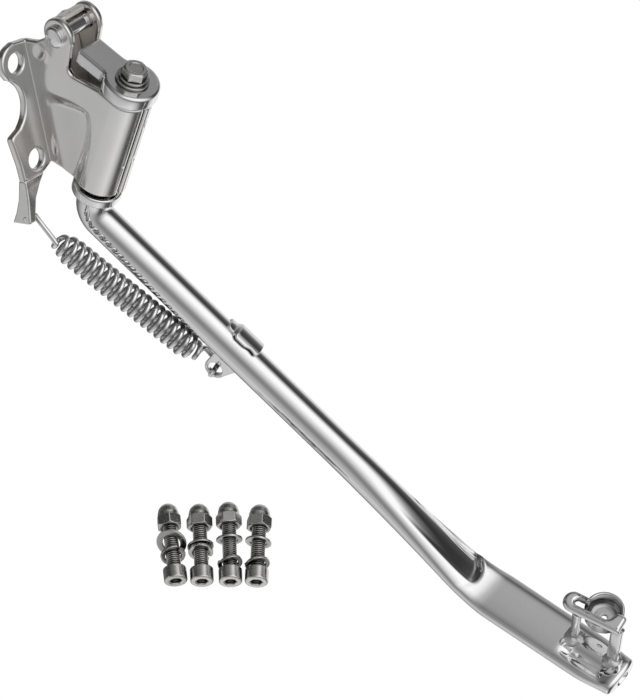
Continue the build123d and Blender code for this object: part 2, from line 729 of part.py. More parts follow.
# --- export ----------------------------------------------------------------------------------
def write_parts():
    os.makedirs("parts", exist_ok=True)
    rear = bracket_half()
    leg_body = tube_body(0, 0)
    inner_post = foot_loop_inner_post(leg_body)
    outer_post = foot_loop_outer_post(leg_body)
    nodes = {
        "bracket_rear_half": rear,
        "bracket_front_half": mirrored(rear),
        "bracket_back_web": back_web(),
        "spring_hanger": spring_hanger(),
        "stop_pin": stop_pin(),
        "barrel_sleeve": barrel_sleeve(),
        "lower_bush": lower_bush(),
        "upper_bush": upper_bush(),
        "thrust_washer": thrust_washer(),
        "leg_collar": leg_collar(),
        "leg_spindle": leg_spindle(),
        "leg_stop_arm": leg_stop_arm(),
        "arm_flat_washer": arm_flat_washer(),
        "arm_lock_washer": arm_lock_washer(),
        "arm_hex_screw": arm_hex_screw(),
        "leg_tube": leg_body - tube_body(tube_wall, 0.5),
        "bumper_saddle": bumper_saddle(),
        "spring_lug": spring_lug(),
        "foot_loop_inner_post": inner_post,
        "foot_loop_outer_post": outer_post,
        "foot_loop_bar": foot_loop_bar(),
        "foot_loop_cup": foot_loop_cup(),
        "foot_loop_welds": foot_loop_welds(leg_body, (inner_post, outer_post)),
        "return_spring": return_spring(),
        "mounting_cap_screws": mounting_cap_screws(),
        "mounting_acorn_nuts": mounting_acorn_nuts(),
        "mounting_lock_washers": mounting_lock_washers(),
        "mounting_flat_washers": mounting_flat_washers(),
    }
    for name, shape in nodes.items():
        export_step(Pos(-ORIGIN) * shape, f"parts/{name}.step")


write_parts()
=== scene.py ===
import json
from math import atan2, ceil, cos, pi, radians, sin, sqrt, tan
import bpy
import bmesh
import numpy as np
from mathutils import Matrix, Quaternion, Vector, noise
from mathutils.geometry import delaunay_2d_cdt


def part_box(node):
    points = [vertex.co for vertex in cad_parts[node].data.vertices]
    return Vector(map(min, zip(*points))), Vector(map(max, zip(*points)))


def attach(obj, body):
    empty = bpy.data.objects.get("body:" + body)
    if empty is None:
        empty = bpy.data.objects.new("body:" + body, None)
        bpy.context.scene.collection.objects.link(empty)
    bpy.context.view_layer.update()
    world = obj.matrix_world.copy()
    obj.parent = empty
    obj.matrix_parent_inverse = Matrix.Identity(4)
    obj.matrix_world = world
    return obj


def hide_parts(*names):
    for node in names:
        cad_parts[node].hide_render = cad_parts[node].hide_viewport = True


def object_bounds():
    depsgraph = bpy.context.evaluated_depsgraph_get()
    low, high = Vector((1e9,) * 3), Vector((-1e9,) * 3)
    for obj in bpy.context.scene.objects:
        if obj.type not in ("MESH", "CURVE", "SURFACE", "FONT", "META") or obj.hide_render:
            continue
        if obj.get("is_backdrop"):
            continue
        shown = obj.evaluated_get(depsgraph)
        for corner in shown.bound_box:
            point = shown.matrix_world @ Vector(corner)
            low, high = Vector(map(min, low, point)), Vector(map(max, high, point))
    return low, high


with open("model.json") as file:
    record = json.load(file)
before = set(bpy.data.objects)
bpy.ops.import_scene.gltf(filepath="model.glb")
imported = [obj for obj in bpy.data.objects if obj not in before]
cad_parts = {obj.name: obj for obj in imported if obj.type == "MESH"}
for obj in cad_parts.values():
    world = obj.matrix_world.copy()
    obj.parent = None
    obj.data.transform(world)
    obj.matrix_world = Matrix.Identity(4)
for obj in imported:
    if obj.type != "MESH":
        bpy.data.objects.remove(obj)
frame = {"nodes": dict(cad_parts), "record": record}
cad_low, cad_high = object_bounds()
TAU = 2 * pi

# Pieces are drawn in millimetres in the part's own frame, and piece() turns them into metres.
# The floor and the camera are in metres.
JOINTS = {j["name"]: j for j in frame["record"]["behaviour"]["joints"]}
MOUNTS = {m["name"]: m for m in frame["record"]["mounts"]}


def mm(values):
    return Vector(values) * 1000


class Place:
    """A local frame: calling it turns local x, y, z into a point of the part's frame."""

    def __init__(self, origin, x, z):
        self.o, self.x, self.z = Vector(origin), Vector(x).normalized(), Vector(z).normalized()
        self.y = self.z.cross(self.x)

    def __call__(self, x, y, z):
        return self.o + self.x * x + self.y * y + self.z * z

    def at(self, x, y, z):
        return Place(self(x, y, z), self.x, self.z)


def corners(node):
    lo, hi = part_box(node)
    return lo * 1000, hi * 1000


def node_points(node):
    obj = frame["nodes"][node]
    co = np.empty(len(obj.data.vertices) * 3)
    obj.data.vertices.foreach_get("co", co)
    return co.reshape(-1, 3) * 1000


def span(node, axis, origin=(0, 0, 0)):
    """Lowest and highest point of a CAD node along a direction."""
    along = (node_points(node) - np.array(origin)) @ np.array(axis)
    return float(along.min()), float(along.max())


PIVOT = mm(JOINTS["leg_swing"]["pos_m"])
AXIS = Vector(JOINTS["leg_swing"]["axis"]).normalized()
NORMAL = Vector(MOUNTS["front_flange_bolts"]["axis"]).normalized()
FRONT_BOLTS = mm(MOUNTS["front_flange_bolts"]["pos_m"])
REAR_BOLTS = mm(MOUNTS["rear_flange_bolts"]["pos_m"])
SIDE = (REAR_BOLTS - FRONT_BOLTS).normalized()
RISE = NORMAL.cross(SIDE).normalized()
REACH = SIDE.cross(AXIS).normalized()
BRACKET = Place(PIVOT, NORMAL, RISE)
BARREL = Place(PIVOT, REACH, AXIS)
RAKE = NORMAL.angle(REACH)
BOLT_SIDE = (REAR_BOLTS - FRONT_BOLTS).length / 2
BOLT_MIDDLE = (FRONT_BOLTS - PIVOT).dot(RISE)
BOLT_SPREAD = MOUNTS["front_flange_bolts"]["dims"]["pcd_mm"] / 2
FLANGE_FRONT = (FRONT_BOLTS - PIVOT).dot(NORMAL)

tube_low, tube_high = corners("leg_tube")
TUBE_R = 9.5
PADDLE_W, PADDLE_T, PADDLE_LENGTH = 14.6, 4.7, 100.0    # half width, half thickness, length
LEG_Y = (tube_low.y + tube_high.y) / 2
SOLE = tube_low.z
KNEE = PIVOT + AXIS * ((LEG_Y - PIVOT.y) / AXIS.y)
ANKLE = Vector((tube_high.x - PADDLE_LENGTH, LEG_Y, SOLE + PADDLE_T))
DOWN = (ANKLE - KNEE).normalized()
LEG_TOP = Vector((-DOWN.z, 0, DOWN.x))
ANKLE_AT = (ANKLE - KNEE).length
ROUND_TO = 186.0    # from the knee to where the tube starts to flatten
BEND = 14.0         # half of the curved stretch at the ankle


# --- outlines ---
def rounded(points, step=1.0, closed=True):
    """Polyline through (x, y, corner radius) points, with arcs at the corners."""
    out = []
    points = [p for i, p in enumerate(points)
              if (not closed and i == 0) or (Vector(p[:2]) - Vector(points[i - 1][:2])).length > 1e-3]
    count = len(points)
    for i, (x, y, r) in enumerate(points):
        p = Vector((x, y))
        if r <= 0 or (not closed and i in (0, count - 1)):
            out.append(p)
            continue
        a = Vector(points[i - 1][:2]) - p
        b = Vector(points[(i + 1) % count][:2]) - p
        half = a.angle(b) / 2
        if half > pi / 2 - 0.01:
            out.append(p)
            continue
        cut = min(r / tan(half), 0.49 * a.length, 0.49 * b.length)
        radius = cut * tan(half)
        centre = p + (a.normalized() + b.normalized()).normalized() * (radius / sin(half))
        s, e = p + a.normalized() * cut - centre, p + b.normalized() * cut - centre
        start = atan2(s.y, s.x)
        turn = (atan2(e.y, e.x) - start + pi) % TAU - pi
        parts = max(3, ceil(abs(turn) * radius / step), ceil(abs(turn) / 0.3))
        for k in range(parts + 1):
            t = start + turn * k / parts
            out.append(centre + Vector((cos(t), sin(t))) * radius)
    dense = []
    for i, p in enumerate(out):
        if not closed and i == len(out) - 1:
            dense.append(p)
            break
        q = out[(i + 1) % len(out)]
        parts = max(1, ceil((q - p).length / step))
        if (q - p).length < 1e-4:
            continue
        dense += [p.lerp(q, k / parts) for k in range(parts)]
    return dense


def arc3(p0, p1, p2, count=12):
    """Arc through three points, as the (x, y, 0) points that rounded() takes."""
    (ax, ay), (bx, by), (cx, cy) = p0, p1, p2
    d = 2 * (ax * (by - cy) + bx * (cy - ay) + cx * (ay - by))
    a2, b2, c2 = ax * ax + ay * ay, bx * bx + by * by, cx * cx + cy * cy
    ux = (a2 * (by - cy) + b2 * (cy - ay) + c2 * (ay - by)) / d
    uy = (a2 * (cx - bx) + b2 * (ax - cx) + c2 * (bx - ax)) / d
    r = sqrt((ax - ux) ** 2 + (ay - uy) ** 2)
    t0, t1, t2 = (atan2(y - uy, x - ux) for x, y in (p0, p1, p2))
    sweep = (t2 - t0) % TAU
    if (t1 - t0) % TAU > sweep:
        sweep -= TAU
    return [(ux + r * cos(t0 + sweep * k / count), uy + r * sin(t0 + sweep * k / count), 0)
            for k in range(count + 1)]


def circle(x, y, r, count=48):
    return [Vector((x + r * cos(TAU * k / count), y + r * sin(TAU * k / count))) for k in range(count)]


def area(loop):
    return sum(p.x * q.y - q.x * p.y for p, q in zip(loop, loop[1:] + loop[:1])) / 2


def inset(loop, d):
    """Every point of a loop moved to its left by d."""
    out = []
    count = len(loop)
    for i, p in enumerate(loop):
        a = (p - loop[i - 1]).normalized()
        b = (loop[(i + 1) % count] - p).normalized()
        n = Vector((-a.y - b.y, a.x + b.x)).normalized()
        grow = max(0.5, n.dot(Vector((-a.y, a.x))))
        out.append(p + n * (d / grow))
    return out


def inside(points, loops):
    """Even-odd test of points against loops."""
    hit = np.zeros(len(points), bool)
    x, y = points[:, 0], points[:, 1]
    for loop in loops:
        pts = np.array([tuple(p) for p in loop])
        for (x0, y0), (x1, y1) in zip(pts, np.roll(pts, -1, 0)):
            cross = (y0 > y) != (y1 > y)
            if cross.any():
                hit ^= cross & (x < (x1 - x0) * (y - y0) / (y1 - y0 + 1e-12) + x0)
    return hit


def sheet(loops, half, edge, cell, at, arcs=5):
    """Plate of even thickness with rounded edges. at(x, y, z) bends it into its shape."""
    loops = [list(l) for l in loops]
    for i, loop in enumerate(loops):
        if (area(loop) > 0) != (i == 0):
            loop.reverse()
    inner = [inset(loop, edge + 0.3) for loop in loops]
    flat = np.array([tuple(p) for loop in inner for p in loop])
    lo, hi = flat.min(0), flat.max(0)
    grid = []
    row_step = cell * 0.866
    for j in range(int((hi[1] - lo[1]) / row_step) + 1):
        for i in range(int((hi[0] - lo[0]) / cell) + 1):
            grid.append((lo[0] + (i + 0.5 * (j % 2)) * cell, lo[1] + j * row_step))
    grid = np.array(grid) if grid else np.zeros((0, 2))
    if len(grid):
        grid = grid[inside(grid, inner)]
    if len(grid):
        near = np.array([np.min((flat[:, 0] - g[0]) ** 2 + (flat[:, 1] - g[1]) ** 2) for g in grid])
        grid = grid[near > (0.6 * cell) ** 2]
    points = [Vector(p) for p in np.vstack([flat, grid])]
    edges, base = [], 0
    for loop in inner:
        n = len(loop)
        edges += [(base + i, base + (i + 1) % n) for i in range(n)]
        base += n
    made = delaunay_2d_cdt(points, edges, [], 0, 1e-5)
    coords, tris, sources = made[0], made[2], made[3]
    where = {s: k for k, group in enumerate(sources) for s in group}
    mids = np.array([tuple(sum((coords[k] for k in t), Vector((0, 0))) / len(t)) for t in tris])
    keep = inside(mids, inner)
    tris = [t for t, ok in zip(tris, keep) if ok]
    count = len(coords)
    verts = [at(p.x, p.y, half) for p in coords] + [at(p.x, p.y, -half) for p in coords]
    faces = [tuple(t) for t in tris] + [tuple(count + k for k in reversed(t)) for t in tris]
    levels = [(edge * (1 - cos(pi / 2 * k / arcs)), half - edge + edge * sin(pi / 2 * k / arcs))
              for k in range(arcs, -1, -1)]
    levels += [(d, -z) for d, z in reversed(levels)]
    base = 0
    for loop in loops:
        n = len(loop)
        rows = [[where[base + i] for i in range(n)]]
        for d, z in levels:
            start = len(verts)
            verts += [at(p.x, p.y, z) for p in inset(loop, d)]
            rows.append(list(range(start, start + n)))
        rows.append([count + where[base + i] for i in range(n)])
        for a, b in zip(rows, rows[1:]):
            faces += [(a[i], b[i], b[(i + 1) % n], a[(i + 1) % n]) for i in range(n)]
        base += n
    return verts, faces


def ring_faces(rings, sides, closed=False):
    """Four-sided faces between each ring of points and the next."""
    faces = []
    for i in range(rings if closed else rings - 1):
        a, b = i * sides, (i + 1) % rings * sides
        faces += [(a + k, a + (k + 1) % sides, b + (k + 1) % sides, b + k) for k in range(sides)]
    return faces


def end_caps(rings, sides):
    """One face over the first ring and one over the last."""
    last = (rings - 1) * sides
    return [tuple(range(sides - 1, -1, -1)), tuple(last + k for k in range(sides))]


def superellipse(t, power):
    """Point at angle t of a superellipse of half-size 1; power 2 is a circle, more is squarer."""
    c, s = cos(t), sin(t)
    return abs(c) ** (2 / power) * (1 if c >= 0 else -1), abs(s) ** (2 / power) * (1 if s >= 0 else -1)


def lathe(profile, place, turns=96, shape=None, closed=True):
    """Profile of (radius, height) points turned round a place's z axis. shape(r, t) trims the radius."""
    verts = []
    for p in profile:
        for k in range(turns):
            t = TAU * k / turns
            r = shape(p.x, t) if shape else p.x
            verts.append(place(r * cos(t), r * sin(t), p.y))
    return verts, ring_faces(len(profile), turns, closed)


def transported(path):
    """Tangent and two normals at each point of a path, turned as little as possible."""
    frames = []
    normal = None
    for i, p in enumerate(path):
        t = (path[min(i + 1, len(path) - 1)] - path[max(i - 1, 0)]).normalized()
        if normal is None:
            normal = t.orthogonal()
        normal = (normal - t * normal.dot(t)).normalized()
        frames.append((p, t, normal, t.cross(normal)))
    return frames


def wire(path, radius, sides=16, cap=0.35):
    """Round wire along a path, with rounded ends."""
    frames = transported(path)
    rim = []
    for k in range(4):
        t = pi / 2 * k / 4
        rim.append((cap * radius * cos(t), radius * (1 - cap + cap * sin(t)) if k else 0))
    rows = [(frames[0], -shift, r) for shift, r in rim]
    rows += [(f, 0, radius) for f in frames]
    rows += [(frames[-1], shift, r) for shift, r in reversed(rim)]
    verts = []
    for (p, t, n, b), shift, r in rows:
        for k in range(sides):
            a = TAU * k / sides
            verts.append(p + t * shift + (n * cos(a) + b * sin(a)) * r)
    return verts, ring_faces(len(rows), sides)


def smooth(points):
    """Chaikin corner cutting that keeps both ends."""
    for _ in range(3):
        out = [points[0]]
        for p, q in zip(points, points[1:]):
            out += [p.lerp(q, 0.25), p.lerp(q, 0.75)]
        points = out + [points[-1]]
    return points


def ease(t):
    t = min(1.0, max(0.0, t))
    return t * t * (3 - 2 * t)


# --- materials ---
def wiring(owner):
    """Empties a material's or world's nodes; gives a function that adds a node, and the links."""
    owner.use_nodes = True
    nodes, links = owner.node_tree.nodes, owner.node_tree.links
    nodes.clear()

    def node(kind, **values):
        """in_NAME sets or links an input, by its name or number; other values set properties."""
        n = nodes.new(kind)
        for key, value in values.items():
            if not key.startswith("in_"):
                setattr(n, key, value)
                continue
            name = key[3:].replace("_", " ")
            socket = n.inputs[int(name) if name.isdigit() else name]
            if isinstance(value, bpy.types.NodeSocket):
                links.new(value, socket)
            else:
                socket.default_value = value
        return n
    return node, links


def metal(name, colour, rough, spread, blotch, grain, scratch, wear=0.12, tint=None, cavity=0.0):
    """Procedural metal: blotchy colour, uneven roughness, fine scratches and rubbed edges.

    tint is a second colour in patches; cavity darkens the corners that little light reaches.
    """
    mat = bpy.data.materials.new(name)
    node, links = wiring(mat)

    def math(op, a, b, clamp=False):
        return node("ShaderNodeMath", operation=op, use_clamp=clamp, in_0=a, in_1=b).outputs[0]

    shader = node("ShaderNodeBsdfPrincipled", in_Metallic=1.0)
    node("ShaderNodeOutputMaterial", in_Surface=shader.outputs[0])
    where = node("ShaderNodeTexCoord").outputs["Object"]

    def cloud(scale, detail, stretch=None):
        at = node("ShaderNodeMapping", in_Vector=where, in_Scale=stretch).outputs[0] if stretch else where
        return node("ShaderNodeTexNoise", in_Vector=at, in_Scale=scale, in_Detail=detail).outputs["Fac"]

    def darkened(colour, by):
        return node("ShaderNodeMix", data_type="RGBA", blend_type="MULTIPLY", in_Factor=1.0,
                    in_A=colour, in_B=by).outputs["Result"]

    big, fine = cloud(38, 3), cloud(900, 4)
    lines = cloud(1400, 2, (0.05, 1.0, 1.0))
    patches = math("ADD", math("MULTIPLY", math("SUBTRACT", big, 0.5), blotch * 2),
                   math("MULTIPLY", math("SUBTRACT", fine, 0.5), blotch))
    pointed = node("ShaderNodeNewGeometry").outputs["Pointiness"]
    edge = math("MULTIPLY", math("SUBTRACT", pointed, 0.52), 9, True)
    shade = math("ADD", math("ADD", 1.0, patches), math("MULTIPLY", edge, wear))
    patchy = math("MULTIPLY", math("SUBTRACT", cloud(16, 2), 0.42), 4, True)
    base = node("ShaderNodeMix", data_type="RGBA", in_Factor=patchy, in_A=(*colour, 1),
                in_B=(*(tint or colour), 1))
    seen = darkened(base.outputs["Result"], shade)
    if cavity:
        hidden = node("ShaderNodeAmbientOcclusion", samples=6, in_Distance=0.005)
        seen = darkened(seen, math("POWER", hidden.outputs["AO"], cavity))
    links.new(seen, shader.inputs["Base Color"])
    worn = math("MULTIPLY", math("MULTIPLY", math("SUBTRACT", lines, 0.55), 6, True), scratch)
    uneven = math("MULTIPLY", math("SUBTRACT", big, 0.5), spread * 2)
    roughness = math("ADD", math("ADD", rough, uneven), worn)
    links.new(math("ADD", roughness, math("MULTIPLY", edge, spread), True), shader.inputs["Roughness"])
    grained = math("ADD", math("MULTIPLY", fine, 0.5), math("MULTIPLY", lines, 0.5))
    bump = node("ShaderNodeBump", in_Strength=grain, in_Distance=0.0004, in_Height=grained)
    links.new(bump.outputs[0], shader.inputs["Normal"])
    return mat


CHROME = metal("leg_chrome", (0.93, 0.93, 0.93), 0.035, 0.02, 0.03, 0.012, 0.03)
BRACKET_CHROME = metal("bracket_chrome", (0.88, 0.88, 0.87), 0.15, 0.06, 0.06, 0.03, 0.05,
                       tint=(0.87, 0.84, 0.80))
WEB_CHROME = metal("web_chrome", (0.96, 0.92, 0.87), 0.5, 0.07, 0.08, 0.04, 0.05)
ARM_CHROME = metal("arm_chrome", (0.86, 0.86, 0.86), 0.13, 0.05, 0.06, 0.05, 0.08)
SPRING_CHROME = metal("spring_chrome", (0.93, 0.93, 0.93), 0.06, 0.03, 0.05, 0.03, 0.05, cavity=1.8)
SATIN = metal("fastener_steel", (0.72, 0.71, 0.70), 0.19, 0.06, 0.1, 0.06, 0.1, 0.5, cavity=1.7)
PLAIN = metal("plain_steel", (0.5, 0.5, 0.51), 0.3, 0.08, 0.12, 0.1, 0.15)
BRONZE = metal("bush_bronze", (0.42, 0.31, 0.19), 0.45, 0.08, 0.15, 0.15, 0.1, cavity=5.0)
WELD = metal("weld_chrome", (0.78, 0.78, 0.77), 0.34, 0.08, 0.16, 0.15, 0.1, cavity=1.2)
LOOP_CHROME = metal("loop_chrome", (0.94, 0.94, 0.94), 0.14, 0.03, 0.05, 0.02, 0.05, cavity=1.6)
CUP_CHROME = metal("cup_chrome", (0.90, 0.90, 0.90), 0.16, 0.03, 0.05, 0.02, 0.05, cavity=4.0)


def piece(name, meshes, material, body, *stands_for):
    """Joins meshes into one object that rides a body and takes the place of CAD nodes."""
    verts, faces = [], []
    for v, f in meshes:
        base = len(verts)
        verts += [p * 0.001 for p in v]
        faces += [tuple(i + base for i in face) for face in f]
    mesh = bpy.data.meshes.new(name)
    mesh.from_pydata(verts, [], faces)
    bm = bmesh.new()
    bm.from_mesh(mesh)
    bmesh.ops.remove_doubles(bm, verts=bm.verts, dist=2e-6)
    bmesh.ops.recalc_face_normals(bm, faces=bm.faces)
    bm.to_mesh(mesh)
    bm.free()
    mesh.shade_smooth()
    obj = bpy.data.objects.new(name, mesh)
    bpy.context.scene.collection.objects.link(obj)
    mesh.materials.append(material)
    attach(obj, body)
    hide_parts(*stands_for)


# --- bracket ---
OUTER = 13.9                    # outside of the barrel and of the walls
HALF = 2.2                      # half of the sheet's thickness
MID = OUTER - HALF
BEND_IN = 0.8                   # inside radius of the fold between wall and flange
WALL_FROM = FLANGE_FRONT + BEND_IN
BEND_MID = BEND_IN + 2.35
FLANGE_TO = WALL_FROM - BEND_MID * pi / 2
BARREL_TOP = span("barrel_sleeve", AXIS, PIVOT)[1] + 0.4
PIN = (5.4, 92.5)               # stop pin's centre on the wall
EAR_R = 10.0
PIN_HOLE_R = 4.65
BOLT_HOLE_R = 5.6
SEAM_GAP = 0.75                 # each half stops this far short of the barrel's front line
LAP = 1.0                       # how far the rear half stands out beside the seam
RECESS_RIM = ((-1.9, 5.0), (13.9, 31.1), (17.0, 48.0), (-6.2, 55.5))
RECESS_DEPTH = 7.4
PAD, PAD_R, PAD_RISE = (-11.0, 80.5), 4.6, 0.25
PLUG_WELDS = ((13.2, 52.0), (13.6, 27.0))       # round from the wall's end, and up the barrel
PLUG_WELD_R = 2.5
WEB_R = 8.1                     # middle of the web's sheet, round the pin
WEB_TIP = 70                    # degrees


def flange_x(u):
    return FLANGE_TO - (u - OUTER - BEND_IN)


def unrolled(s, a):
    """Wall coordinates of a point s round from the wall's end and a up the barrel."""
    return s * cos(RAKE) + a * sin(RAKE), a * cos(RAKE) - s * sin(RAKE)


def edge_distance(x, w, a, b):
    """Distance of a point to the left of the line from a to b."""
    dx, dw = b[0] - a[0], b[1] - a[1]
    return (dx * (w - a[1]) - dw * (x - a[0])) / sqrt(dx * dx + dw * dw)


def wall_dent(x, w):
    """How far the wall is pressed in: the deep recess beside the barrel and a small forming pad."""
    d = [edge_distance(x, w, a, b) for a, b in zip(RECESS_RIM, RECESS_RIM[1:])]
    soft = -2.0 * float(np.log(sum(np.exp(-v / 2.0) for v in d))) if min(d) > -12 else -12
    slope = ease((x - WALL_FROM - 1) / 30) * RECESS_DEPTH
    recess = slope * ease((soft + 1.6) / 9.0)
    from_pad = sqrt((x - PAD[0]) ** 2 + (w - PAD[1]) ** 2)
    return recess - PAD_RISE * (1 - ease((from_pad - PAD_R) / 2.6))


def half_at(sign, welds):
    """Bends a flat blank into one bracket half: flange, fold, wall, and round the barrel."""
    def at(x, w, z):
        if x < WALL_FROM:
            turn = min((WALL_FROM - x) / BEND_MID, pi / 2)
            z = z * (1 + 0.136 * ease(turn / 1.5))
            r = BEND_MID - z
            if x < FLANGE_TO:
                return BRACKET(WALL_FROM - r, sign * (OUTER + BEND_IN + FLANGE_TO - x), w)
            return BRACKET(WALL_FROM - r * sin(turn), sign * (OUTER + BEND_IN - r * cos(turn)), w)
        s = x * cos(RAKE) - w * sin(RAKE)
        a = x * sin(RAKE) + w * cos(RAKE)
        for ws, wa in welds:
            d = sqrt((s - ws) ** 2 + (a - wa) ** 2)
            groove = 1 - ease(abs(d - PLUG_WELD_R) / 1.2)
            z -= 0.85 * ease(z) * groove * (1 if s > ws - 1.2 else 0.25)
        if s > 0:
            lap = LAP * ease((s - 10.5) / 3.0) if sign > 0 else 0.0
            r = MID + z + lap
            return BARREL(r * sin(s / MID), sign * r * cos(s / MID), a)
        return BRACKET(x, sign * (MID + z - wall_dent(x, w)), w)
    return at


def half_outline():
    """Flat blank of one half: across it from the flange's edge to the seam, and up the flange."""
    top = BARREL_TOP
    seam = MID * pi / 2 - SEAM_GAP
    notch_end = (27.5, (top - 27.5 * sin(RAKE)) / cos(RAKE))
    px, pw = PIN
    points = [(WALL_FROM, 87.0, 0), (-12, 87.2, 4), (px - EAR_R, 90.0, 1.5)]
    points += arc3((px - EAR_R, pw), (px, pw + EAR_R), (px + EAR_R, pw), 24)
    points += [(px + EAR_R - 0.4, 88.4, 3), (6.2, 69.8, 5), (*notch_end, 6),
               (*unrolled(seam, top), 2.0), (*unrolled(seam, 0), 2.0), (-6.1, 3.9, 3),
               (-14.0, 11.2, 6), (WALL_FROM - 1, 14.8, 5), (flange_x(19.6), 11.0, 3),
               (flange_x(36.2), 11.0, 0.8), (flange_x(36.6), 20.4, 8), (flange_x(39.3), 38.4, 3.0),
               (flange_x(31.2), 41.3, 2.5)]
    points += [(flange_x(u), w, 0) for u, w, _ in arc3((30.0, 42.4), (23.2, 55.4), (32.2, 70.4), 16)]
    points += [(flange_x(u), w, 0) for u, w, _ in arc3((33.0, 72.0), (34.4, 81.0), (27.2, 88.2), 12)]
    points += [(flange_x(22.5), 89.2, 3), (flange_x(16.4), 88.0, 6)]
    return rounded(points, 1.0)


def bracket_half(sign, welds=()):
    holes = [circle(flange_x(BOLT_SIDE), BOLT_MIDDLE + s * BOLT_SPREAD, BOLT_HOLE_R) for s in (1, -1)]
    holes.append(circle(*PIN, PIN_HOLE_R, 40))
    return sheet([half_outline()] + holes, HALF, 1.5, 1.25, half_at(sign, welds))


piece("bracket_front_shell", [bracket_half(-1)], BRACKET_CHROME, "bracket", "bracket_front_half")
piece("bracket_rear_shell", [bracket_half(1, PLUG_WELDS)], BRACKET_CHROME, "bracket", "bracket_rear_half")


def web_at(x, y, z):
    """x from the web's tip, round behind the pin and then straight down; y across; z outwards."""
    px, pw = PIN
    arc = WEB_R * radians(180 - WEB_TIP)
    if x < arc:
        t = radians(WEB_TIP) + x / WEB_R
        return BRACKET(px + (WEB_R + z) * cos(t), y, pw + (WEB_R + z) * sin(t))
    return BRACKET(px - WEB_R - z, y, pw - (x - arc))


piece("bracket_web_plate", [sheet([rounded([(0, -9.4, 2), (77, -9.4, 2), (77, 9.4, 2), (0, 9.4, 2)])],
                                  1.5, 0.9, 1.6, web_at)],
      WEB_CHROME, "bracket", "bracket_back_web")

# Height, outer side, width and depth of the spring's strap under the front flange.
STRAP = ((11.0, -36.3, 16.0, 5.0), (6.5, -36.3, 11.6, 6.4), (0.0, -36.9, 7.2, 7.8),
         (-7.5, -38.3, 6.0, 10.4), (-13.0, -39.5, 6.0, 13.2))
STRAP_STEPS = 48


def strap_station(height):
    """Outer side, width and depth of the strap at a height."""
    for (h0, *a), (h1, *b) in zip(STRAP, STRAP[1:]):
        if height >= h1:
            break
    t = min(1.0, (h0 - height) / (h0 - h1))
    return [p + (q - p) * t for p, q in zip(a, b)]


def strap_mesh():
    """Strap from just inside the flange down to a foot with rounded edges. Its hole isn't cut."""
    n, edge = 64, 1.3
    verts = []
    top, foot = STRAP[0][0] + 0.2, STRAP[-1][0]
    for k in range(STRAP_STEPS + 1):
        height = top + (foot - top) * k / STRAP_STEPS
        left = height - foot
        pull = 0 if left > edge else edge - sqrt(max(0, edge ** 2 - (edge - left) ** 2))
        outer, width, depth = strap_station(min(height, STRAP[0][0]))
        x, u, r = FLANGE_FRONT - depth / 2, outer + width / 2, 1.1
        hx, hu = depth / 2 - pull, width / 2 - pull
        loop = rounded([(-hx, -hu, r), (hx, -hu, r), (hx, hu, r), (-hx, hu, r)], 0.4)
        for i in range(n):
            p = loop[i * len(loop) // n]
            verts.append(BRACKET(x + p.x, u + p.y, height))
    return verts, ring_faces(STRAP_STEPS + 1, n) + end_caps(STRAP_STEPS + 1, n)


piece("spring_hanger_strap", [strap_mesh()], BRACKET_CHROME, "bracket", "spring_hanger")

pin_place = Place(BRACKET(PIN[0], 0, PIN[1]), NORMAL, -SIDE)
piece("stop_pin_round",
      [lathe(rounded([(0, -15.8, 0), (5.8, -15.8, 1.5), (5.8, -OUTER, 0.3), (4.6, -OUTER, 0.2),
                      (4.6, OUTER, 0.2), (6.5, OUTER, 0.3), (6.5, 14.6, 0.25), (6.1, 14.75, 0.1),
                      (6.1, 14.95, 0.1), (6.5, 15.1, 0.25), (6.5, 15.8, 0.25), (6.1, 16.0, 0.3),
                      (5.4, 17.0, 2.5), (3.2, 17.7, 3.0), (0, 18.0, 0)], 0.5, False),
             pin_place, 96, None, False)],
      CHROME, "bracket", "stop_pin")

# --- bearing, collar and stop arm ---
COLLAR_BORE, COLLAR_R = 7.02, 14.0
WASHER_BORE, WASHER_R = 7.05, 13.3
ARM_EYE_R, ARM_HALF_WIDTH, ARM_REACH = 16.2, 9.5, 33.6
KEY_HALF = 5
HEX_FLATS = 13.0

low, high = span("leg_collar", AXIS, PIVOT)
piece("leg_collar_ring",
      [lathe(rounded([(COLLAR_BORE, high, 0.5), (COLLAR_R, high, 1.2), (COLLAR_R, low, 1.4),
                      (11.6, low - 0.3, 0.8), (9.6, low - 2.6, 0.6), (COLLAR_BORE, low - 1.0, 0.3)], 0.5),
             BARREL)],
      CHROME, "leg", "leg_collar")
low, high = span("thrust_washer", AXIS, PIVOT)
piece("thrust_washer_ring",
      [lathe(rounded([(WASHER_BORE, low, 0.3), (WASHER_R, low, 0.4), (WASHER_R, high, 0.4),
                      (WASHER_BORE, high, 0.3)], 0.4), BARREL)],
      PLAIN, "lift_washer", "thrust_washer")

arm_low, arm_high = span("leg_stop_arm", AXIS, PIVOT)
arm_mid = BARREL.at(0, 0, (arm_low + arm_high) / 2)
eye_angles = [radians(-142 + 284 * k / 72) for k in range(73)]
eye = [(ARM_EYE_R * cos(t), ARM_EYE_R * sin(t), 0) for t in eye_angles]
tongue = [(-14.6, ARM_HALF_WIDTH, 2.5), (-ARM_REACH, ARM_HALF_WIDTH, 2.2),
          (-ARM_REACH, -ARM_HALF_WIDTH, 2.2), (-14.6, -ARM_HALF_WIDTH, 2.5)]
key = [(-KEY_HALF, -KEY_HALF, 1), (KEY_HALF, -KEY_HALF, 1), (KEY_HALF, KEY_HALF, 1), (-KEY_HALF, KEY_HALF, 1)]
piece("stop_arm_plate",
      [sheet([rounded(eye + tongue), rounded(key)], (arm_high - arm_low) / 2, 2.0, 1.8, arm_mid)],
      ARM_CHROME, "leg", "leg_stop_arm")


